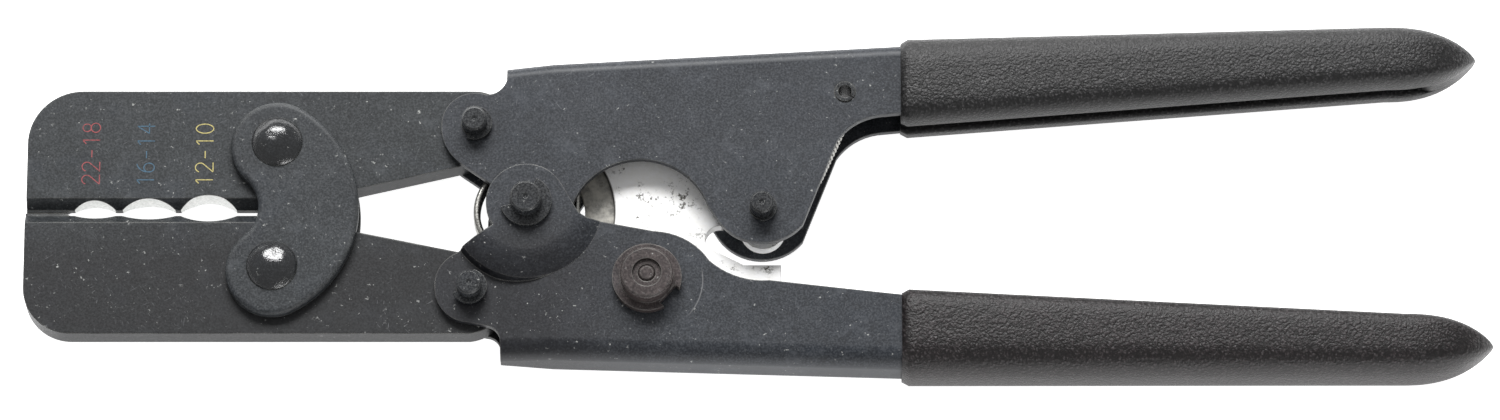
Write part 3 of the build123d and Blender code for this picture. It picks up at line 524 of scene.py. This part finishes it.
GRIP_NOSE = 17.0  # length over which a grip closes on its tip
BACK_SQUARE = 3.0  # exponent of the section: 2 is an ellipse, more is squarer
BELLY_SQUARE = 5.0
SLOT_HALF = 1.9
SLOT_LIP = 0.8  # radius of the slot's rounded lips
SLOT_ROOF = 4.8  # vinyl, spine and vinyl above the slot
SLOT_FADE = 9.0  # the slot runs out over this length, before the tip
END_ROUND = 0.7
UPPER_BACK_RISE = 2.35  # what each line rises or falls from a grip's mouth to its nose
UPPER_BELLY_RISE = 7.3
LOWER_BACK_RISE = 0.25
LOWER_BELLY_FALL = 4.9
UPPER_TIP = 5.75  # from a grip's back to its tip
LOWER_TIP = 6.75


def grip_rings(start, length, back, belly, tip_height, thick, side):
    """Rings of a dipped grip. Along X the back and belly run straight, then close on the
    tip as (1 - t^2.4)^0.85. Each section is the superellipse |y|^n + |z|^n = 1, squarer
    at the belly, with a round-lipped slot cut up into it from the belly."""
    plain = np.linspace(0, length - GRIP_NOSE, 70)
    ease = np.linspace(0, 1, 60)[1:]
    along = np.concatenate((plain, length - GRIP_NOSE + GRIP_NOSE * np.sin(ease * np.pi / 2)))
    nose = np.clip((along - length + GRIP_NOSE) / GRIP_NOSE, 0, 0.9995)
    share = np.clip(along / (length - GRIP_NOSE), 0, 1)
    close = (1 - nose**2.4) ** 0.85
    top = tip_height + (back[0] + (back[1] - back[0]) * share - tip_height) * close
    low = tip_height + (belly[0] + (belly[1] - belly[0]) * share - tip_height) * close
    half = np.abs(top - low)[:, None] / 2
    level = ((top + low) / 2)[:, None]
    wide = (thick * (1 - nose**2.6) ** 0.6)[:, None]
    round_off = END_ROUND * (1 - np.sqrt(1 - np.clip(1 - along / END_ROUND, 0, 1) ** 2))[:, None]
    half, wide = half - round_off, wide - round_off
    slot = np.minimum(SLOT_HALF, wide * 0.5)
    lip = np.minimum(SLOT_LIP, wide * 0.25)
    shut = np.clip((length - GRIP_NOSE * 0.45 - along) / SLOT_FADE, 0, 1)[:, None]
    shut = shut * shut * (3 - 2 * shut)
    depth = np.maximum(2 * half - SLOT_ROOF, 0) * shut
    lip = lip * np.clip(shut * 4, 0.02, 1)
    first = np.arccos(np.clip((slot + lip) / wide, 0, 0.95) ** (BELLY_SQUARE / 2))
    sweep = np.linspace(0, 1, 72)[None, :]
    angle = -first + (np.pi + 2 * first) * sweep
    power = 2 / np.where(np.sin(angle) < 0, BELLY_SQUARE, BACK_SQUARE)
    outer_z = wide * np.sign(np.cos(angle)) * np.abs(np.cos(angle)) ** power
    outer_y = half * np.sign(np.sin(angle)) * np.abs(np.sin(angle)) ** power
    bend = np.linspace(0, np.pi / 2, 7)[None, 1:]
    belly_y = outer_y[:, -1:]
    left_z = -(slot + lip * (1 - np.sin(bend)))
    left_y = belly_y + lip * (1 - np.cos(bend))
    rise = np.linspace(0, 1, 6)[None, 1:]
    wall_y = belly_y + lip + np.maximum(depth - lip, 0) * rise
    wall_z = -slot + 0 * rise
    across = np.linspace(-1, 1, 7)[None, 1:]
    roof_z = slot * across
    roof_y = wall_y[:, -1:] + 0 * across
    z = np.concatenate((outer_z, left_z, wall_z, roof_z, -wall_z[:, -2::-1], -left_z[:, ::-1]), 1)
    y = np.concatenate((outer_y, left_y, wall_y, roof_y, wall_y[:, -2::-1], left_y[:, ::-1]), 1)
    x = (start + along)[:, None] + 0 * z
    return np.stack((x, level + side * y, MID + side * z), -1)


def make_grip(name, node, back, belly, tip_height, side, vinyl, body):
    """Dipped grip that fills a node's box. Back and belly are heights at mouth and nose."""
    low, high = corners(node)
    thick = (high[2] - low[2]) / 2
    rings = grip_rings(low[0], high[0] - low[0], back, belly, tip_height, thick, side)
    piece = lofted(name, rings, vinyl)
    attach(piece, body)
    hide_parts(node)


upper_low, upper_high = corners("upper_grip")
lower_low, lower_high = corners("lower_grip")
make_grip(
    "upper_grip_vinyl",
    "upper_grip",
    (upper_high[1] - UPPER_BACK_RISE, upper_high[1]),
    (upper_low[1], upper_low[1] + UPPER_BELLY_RISE),
    upper_high[1] - UPPER_TIP,
    1,
    UPPER_VINYL,
    "upper_handle",
)
make_grip(
    "lower_grip_vinyl",
    "lower_grip",
    (lower_low[1], lower_low[1] + LOWER_BACK_RISE),
    (lower_high[1], lower_high[1] - LOWER_BELLY_FALL),
    lower_low[1] + LOWER_TIP,
    -1,
    LOWER_VINYL,
    "lower_handle",
)


# ---------------------------------------------------------------- springs

TORSION_TURNS = 4
TORSION_WIRE = 1.25
TORSION_ROOM = 0.1  # the coil stops this far short of its box at each end


def make_torsion_spring():
    """Coil round the main pivot, the radius held and the height rising evenly, with a
    straight leg leaving each end along the tangent to its frame's spine."""
    low, high = corners("torsion_spring")
    radius = (high[0] - low[0] - TORSION_WIRE) / 2
    rise = (high[2] - low[2] - TORSION_WIRE) / 2 - TORSION_ROOM
    turn = np.linspace(0, 2 * np.pi * TORSION_TURNS, 260)
    spin = turn - turn[-1]
    coil = np.stack(
        (radius * np.cos(spin), radius * np.sin(spin), MID + rise * (2 * turn / turn[-1] - 1)), -1
    )
    steps = np.linspace(0, 1, 24)[1:, None]
    up = coil[-1] + steps * np.array([0, high[1] - TORSION_WIRE, 0])
    down = coil[0] + steps * np.array([0, low[1] + TORSION_WIRE, 0])
    path = np.concatenate((down[::-1], coil, up))
    rings = wire_rings(path, TORSION_WIRE / 2, 14, np.array([0, 0, 1.0]))
    piece = joined_wires("torsion_spring_coil", [rings], WIRE)
    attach(piece, "lower_handle")
    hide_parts("torsion_spring")


PULL_WIRE = 0.62
PULL_PITCH = 0.85
PULL_LOOP = 2.1  # radius of the hook in the pawl's tail
PAWL_EYE = (51.2, 3.5)  # X and Y of the eye in the pawl's tail
POST_RADIUS = 1.93
HOOK_GAP = 0.05  # between the post and the hook about it


def make_pull_spring():
    """Coil from the pawl's tail to the post, with a round hook at each end:
    one through the tail's eye, one about the post."""
    low, high = corners("pawl_spring")
    tail = np.array([*PAWL_EYE, MID])
    post = middle("spring_anchor_pin")
    post[2] = MID
    line = (post - tail) / np.linalg.norm(post - tail)
    up = np.array([0, 0, 1.0])
    across = np.cross(line, up)
    length = np.linalg.norm(post - tail)
    post_loop = POST_RADIUS + PULL_WIRE / 2 + HOOK_GAP
    first, last = 2 * PULL_LOOP, length - post_loop
    turns = (last - first) / PULL_PITCH
    swing = np.linspace(0, 2 * np.pi * turns, int(turns * 22))
    mean = (high[2] - low[2] - PULL_WIRE) / 2
    coil = (
        tail
        + line * (first + (last - first) * swing / swing[-1])[:, None]
        + mean * (np.cos(swing)[:, None] * across + np.sin(swing)[:, None] * up)
    )
    sweep = np.linspace(-0.95 * np.pi, 0.95 * np.pi, 48)[:, None]
    hook = tail + line * PULL_LOOP - PULL_LOOP * (np.cos(sweep) * line + np.sin(sweep) * up)
    ring = post + post_loop * (np.cos(sweep) * line + np.sin(sweep) * across)
    wires = [
        wire_rings(coil, PULL_WIRE / 2, 9, line),
        wire_rings(hook, PULL_WIRE / 2, 9, across),
        wire_rings(ring, PULL_WIRE / 2, 9, up),
    ]
    piece = joined_wires("pawl_spring_coil", wires, WIRE)
    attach(piece, "upper_handle")
    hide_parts("pawl_spring")


make_torsion_spring()
make_pull_spring()


# ---------------------------------------------------------------- rivets

RIVET_SHANK = 2.6  # radius between the heads
DOME_RISE = 2.4
DENTS = 16  # hammer blows on each rivet


def make_rivet(name, node, seed):
    """Solid of revolution whose heads are caps h(1 - (r/R)^2.3)^0.92, dented all over by a few
    soft hammer blows: a sum of bell curves taken off the height."""
    low, high = corners(node)
    centre = middle(node)
    radius = (high[0] - low[0]) / 2
    top = high[2] - MID
    seat = top - DOME_RISE
    blows = np.random.default_rng(seed)
    share = np.concatenate((np.linspace(0.01, 0.9, 26), 1 - np.geomspace(0.08, 0.001, 8)))
    cap = seat + (top - seat) * (1 - share**2.3) ** 0.92
    waist = [radius * 0.995, RIVET_SHANK, RIVET_SHANK, radius * 0.995]
    r = np.concatenate((share * radius, waist, share[::-1] * radius))
    z = np.concatenate((cap, [seat, seat, -seat, -seat], -cap[::-1]))
    turn = np.linspace(0, 2 * np.pi, 72, endpoint=False)[None, :]
    x, y = r[:, None] * np.cos(turn), r[:, None] * np.sin(turn)
    z = z[:, None] + 0 * x
    for _ in range(DENTS):
        spot = blows.uniform(-0.75, 0.75, 2) * radius
        width = blows.uniform(0.8, 1.5)
        sink = blows.uniform(0.05, 0.16)
        bell = np.exp(-((x - spot[0]) ** 2 + (y - spot[1]) ** 2) / width**2)
        head = np.clip((np.abs(z) - seat) / 0.6, 0, 1)
        z = z - np.sign(z) * sink * bell * head
    rings = np.stack((centre[0] + x, centre[1] + y, MID + z), -1)[::-1]
    piece = lofted(name, rings, DOMES)
    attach(piece, "link")
    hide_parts(node)


make_rivet("upper_rivet_hammered", "upper_link_rivet", 11)
make_rivet("lower_rivet_hammered", "lower_link_rivet", 23)


# ---------------------------------------------------------------- gauge marks

FIGURE = 3.3  # height of a stamped figure
FIGURE_WIDTH = 0.98  # of its height, for a figure drawn one unit wide
STROKE = 0.20
PITCH = 2.55  # from one figure to the next
MARK_Y = 11.1  # middle of each row
BOW_POINTS = 18
MARK_LIFT = 0.02  # each stroke of a figure lies this much over the one before


def bow(cx, cy, rx, ry, start, stop):
    """Part of an ellipse about (cx, cy), between two angles in degrees."""
    angle = np.radians(np.linspace(start, stop, BOW_POINTS))
    return np.stack((cx + rx * np.cos(angle), cy + ry * np.sin(angle)), -1)


# Each figure's strokes, on a field one unit high
FIGURES = {
    "0": [bow(0.3, 0.5, 0.28, 0.5, 0, 360)],
    "1": [np.array([[0.12, 0.8], [0.34, 1.0], [0.34, 0.0]])],
    "2": [np.concatenate((bow(0.3, 0.72, 0.27, 0.28, 165, -38), [[0.03, 0.0], [0.6, 0.0]]))],
    "4": [np.array([[0.45, 0.0], [0.45, 1.0], [0.02, 0.32], [0.62, 0.32]])],
    "6": [bow(0.3, 0.3, 0.27, 0.3, 0, 360), bow(0.62, 0.35, 0.59, 0.65, 100, 176)],
    "8": [bow(0.3, 0.76, 0.23, 0.24, 0, 360), bow(0.3, 0.27, 0.28, 0.27, 0, 360)],
    "-": [np.array([[0.08, 0.46], [0.52, 0.46]])],
}


def stroke_strip(line, width):
    """Flat ribbon along a line: each point moved half a width to both sides."""
    run = np.gradient(line, axis=0)
    run /= np.linalg.norm(run, axis=1, keepdims=True)
    side = np.stack((-run[:, 1], run[:, 0]), -1) * width / 2
    return np.stack((line + side, line - side), 1)


def make_mark(name, text, centre_x, centre_y, height, paint):
    """Row of figures that reads towards +Y, as thin ribbons of enamel on the jaw."""
    points, faces = [], []
    for place, figure in enumerate(text):
        for layer, line in enumerate(FIGURES[figure]):
            fine = np.concatenate(
                [np.linspace(a, b, 6)[:-1] for a, b in zip(line[:-1], line[1:])] + [line[-1:]]
            )
            fine = fine * (FIGURE * FIGURE_WIDTH, FIGURE) + (place * PITCH, 0)
            strip = stroke_strip(fine, STROKE).reshape(-1, 2)
            row = np.arange(len(fine) - 1)[:, None] * 2 + sum(len(p) for p in points)
            faces += (row + np.array([[0, 1, 3, 2]])).tolist()
            over = np.full((len(strip), 1), MARK_LIFT * (1 + layer))
            points.append(np.concatenate((strip, over), 1))
    flat = np.concatenate(points)
    flat[:, :2] -= (flat[:, :2].min(0) + flat[:, :2].max(0)) / 2
    spots = np.stack((centre_x - flat[:, 1], centre_y + flat[:, 0], height + flat[:, 2]), -1)
    piece = mesh_piece(name, spots, faces, paint, smooth=False)
    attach(piece, "upper_jaw")


jaw_front = corners("upper_jaw")[1][2]
MARKS = (("mark_22_18", "22-18", -81.75), ("mark_16_14", "16-14", -71.5), ("mark_12_10", "12-10", -60.5))
for (mark_name, text, mark_x), paint in zip(MARKS, MARK_PAINTS):
    make_mark(mark_name, text, mark_x, MARK_Y, jaw_front, paint)


# ---------------------------------------------------------------- finishes on the CAD nodes

FINISHES = {
    SHEET: ("upper_frame", "lower_frame"),
    LINKS: ("front_link_plate", "rear_link_plate"),
    JAWS: ("upper_jaw", "lower_jaw"),
    ZINC: ("ratchet_plate", "pawl"),
    BROWNED: ("adjuster_wheel", "adjuster_retaining_ring", "adjuster_lock_screw"),
    PINS: (
        "main_pivot_pin",
        "main_pin_clip",
        "pivot_bush",
        "upper_jaw_pin",
        "upper_jaw_pin_clip",
        "lower_jaw_pin",
        "lower_jaw_pin_clip",
        "pawl_pin",
        "pawl_pin_clip",
        "spring_anchor_pin",
    ),
}
for finish_of, nodes in FINISHES.items():
    for node in nodes:
        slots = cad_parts[node].data.materials
        slots.clear()
        slots.append(finish_of)
